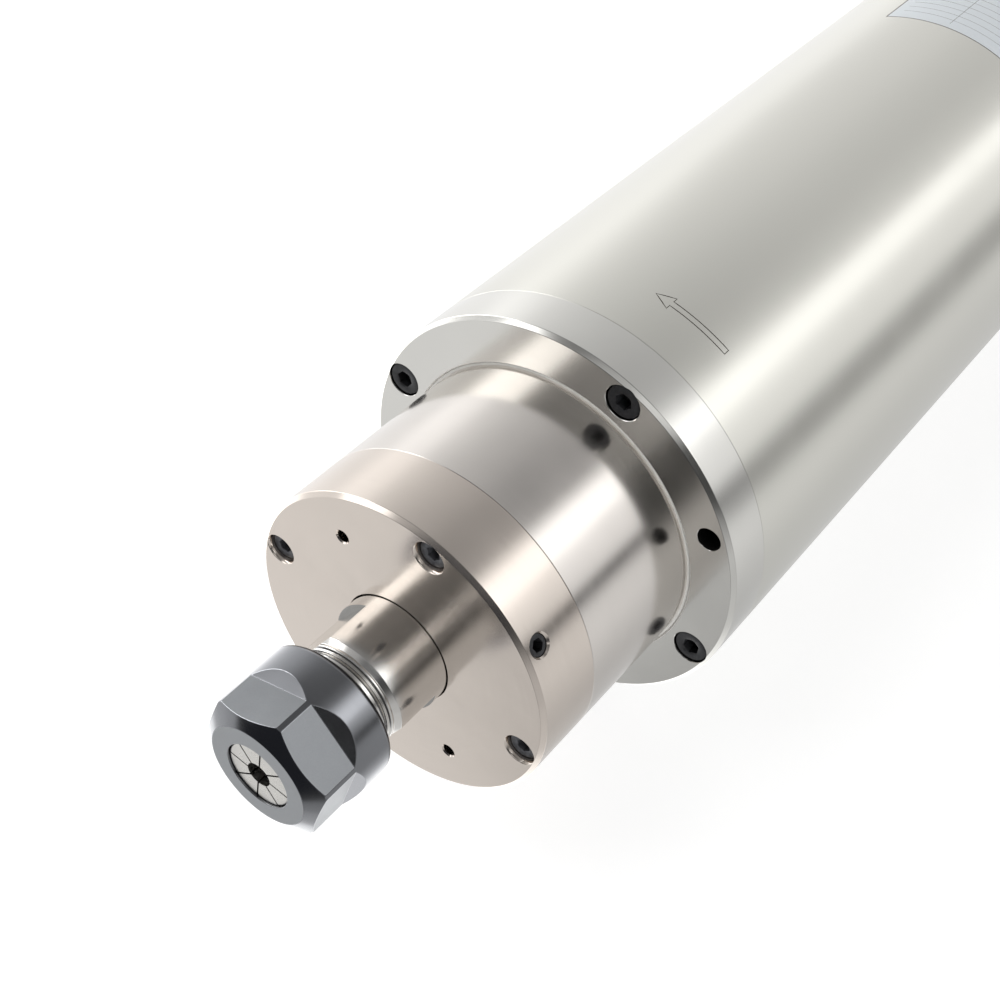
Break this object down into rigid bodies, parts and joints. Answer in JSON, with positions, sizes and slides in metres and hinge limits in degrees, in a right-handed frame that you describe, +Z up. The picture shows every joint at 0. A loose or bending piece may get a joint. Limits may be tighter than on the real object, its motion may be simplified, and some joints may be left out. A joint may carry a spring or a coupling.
{
  "type": "motor spindle",
  "caption": "Round water-cooled electric motor spindle with a stepped, flanged nose and a hexagonal collet nut holding a slit collet.",
  "frame": {"origin": "on the spindle axis, in the plane of the front face of the mounting flange", "axes": "+Y along the spindle axis towards the rear cover, so the nose and collet nut point to -Y; +Z up"},
  "size_m": [0.105, 0.409, 0.105],
  "materials": {
    "stainless_body": "satin polished",
    "nickel_satin": "satin nickel plate",
    "shaft_steel": "ground and polished",
    "nut_gunmetal": "dark phosphate",
    "collet_steel": "ground",
    "black_oxide": "black oxide",
    "bearing_steel": "ground",
    "ball_steel": "polished",
    "spring_steel": "hardened",
    "lamination_steel": "stacked laminations",
    "winding_copper": "varnished",
    "cage_aluminium": "cast",
    "cage_resin": "fabric resin",
    "seal_rubber": "matte",
    "connector_chrome": "chrome plate",
    "insulator": "moulded",
    "pin_brass": "polished",
    "lead_insulation": "extruded",
    "fitting_brass": "turned"
  },
  "bodies": {
    "housing": {"front_cover": "nickel_satin", "front_cover_screws": "black_oxide", "side_grub_screw": "black_oxide", "bearing_housing": "nickel_satin", "mounting_flange": "stainless_body", "flange_screws": "black_oxide", "front_o_rings": "seal_rubber", "body_tube": "stainless_body", "stator_core": "lamination_steel", "stator_windings": "winding_copper", "front_bearing_outer_rings": "bearing_steel", "front_outer_spacer": "bearing_steel", "rear_bearing_housing": "stainless_body", "rear_bearing_outer_ring": "bearing_steel", "preload_spring": "spring_steel", "rear_o_rings": "seal_rubber", "rear_cover": "stainless_body", "rear_cover_screws": "black_oxide", "connector_shell": "connector_chrome", "connector_insert": "insulator", "connector_pins": "pin_brass", "connector_screws": "bearing_steel", "motor_leads": "lead_insulation", "water_fittings": "fitting_brass"},
    "rotor": {"shaft": "shaft_steel", "slinger": "bearing_steel", "front_bearing_inner_rings": "bearing_steel", "front_inner_spacer": "bearing_steel", "front_locknut": "spring_steel", "rotor_core": "lamination_steel", "rotor_cage": "cage_aluminium", "rear_bearing_inner_ring": "bearing_steel", "rear_locknut": "spring_steel"},
    "front_ball_sets": {"front_bearing_balls": "ball_steel", "front_bearing_cages": "cage_resin"},
    "rear_ball_set": {"rear_bearing_balls": "ball_steel", "rear_bearing_cage": "cage_resin"},
    "collet": {"collet": "collet_steel"},
    "nut": {"collet_nut": "nut_gunmetal", "nut_extractor_ring": "spring_steel"}
  },
  "joints": [
    {"name": "spindle_spin", "type": "hinge", "parent": "housing", "child": "rotor", "pos_m": [0, 0, 0], "axis": [0, -1, 0], "continuous": true},
    {"name": "front_balls_orbit", "type": "hinge", "parent": "housing", "child": "front_ball_sets", "pos_m": [0, 0, 0], "axis": [0, -1, 0], "continuous": true},
    {"name": "rear_balls_orbit", "type": "hinge", "parent": "housing", "child": "rear_ball_set", "pos_m": [0, 0, 0], "axis": [0, -1, 0], "continuous": true},
    {"name": "collet_draw", "type": "slide", "parent": "rotor", "child": "collet", "axis": [0, -1, 0], "range_m": [0, 0.0045]},
    {"name": "nut_turn", "type": "hinge", "parent": "collet", "child": "nut", "pos_m": [0, 0, 0], "axis": [0, -1, 0], "range_deg": [0, 1080]}
  ],
  "couplings": [
    {"joint": "front_balls_orbit", "follows": "spindle_spin", "ratio": 0.42},
    {"joint": "rear_balls_orbit", "follows": "spindle_spin", "ratio": 0.42},
    {"joint": "nut_turn", "follows": "collet_draw", "rad_per_m": 4188.8}
  ]
}
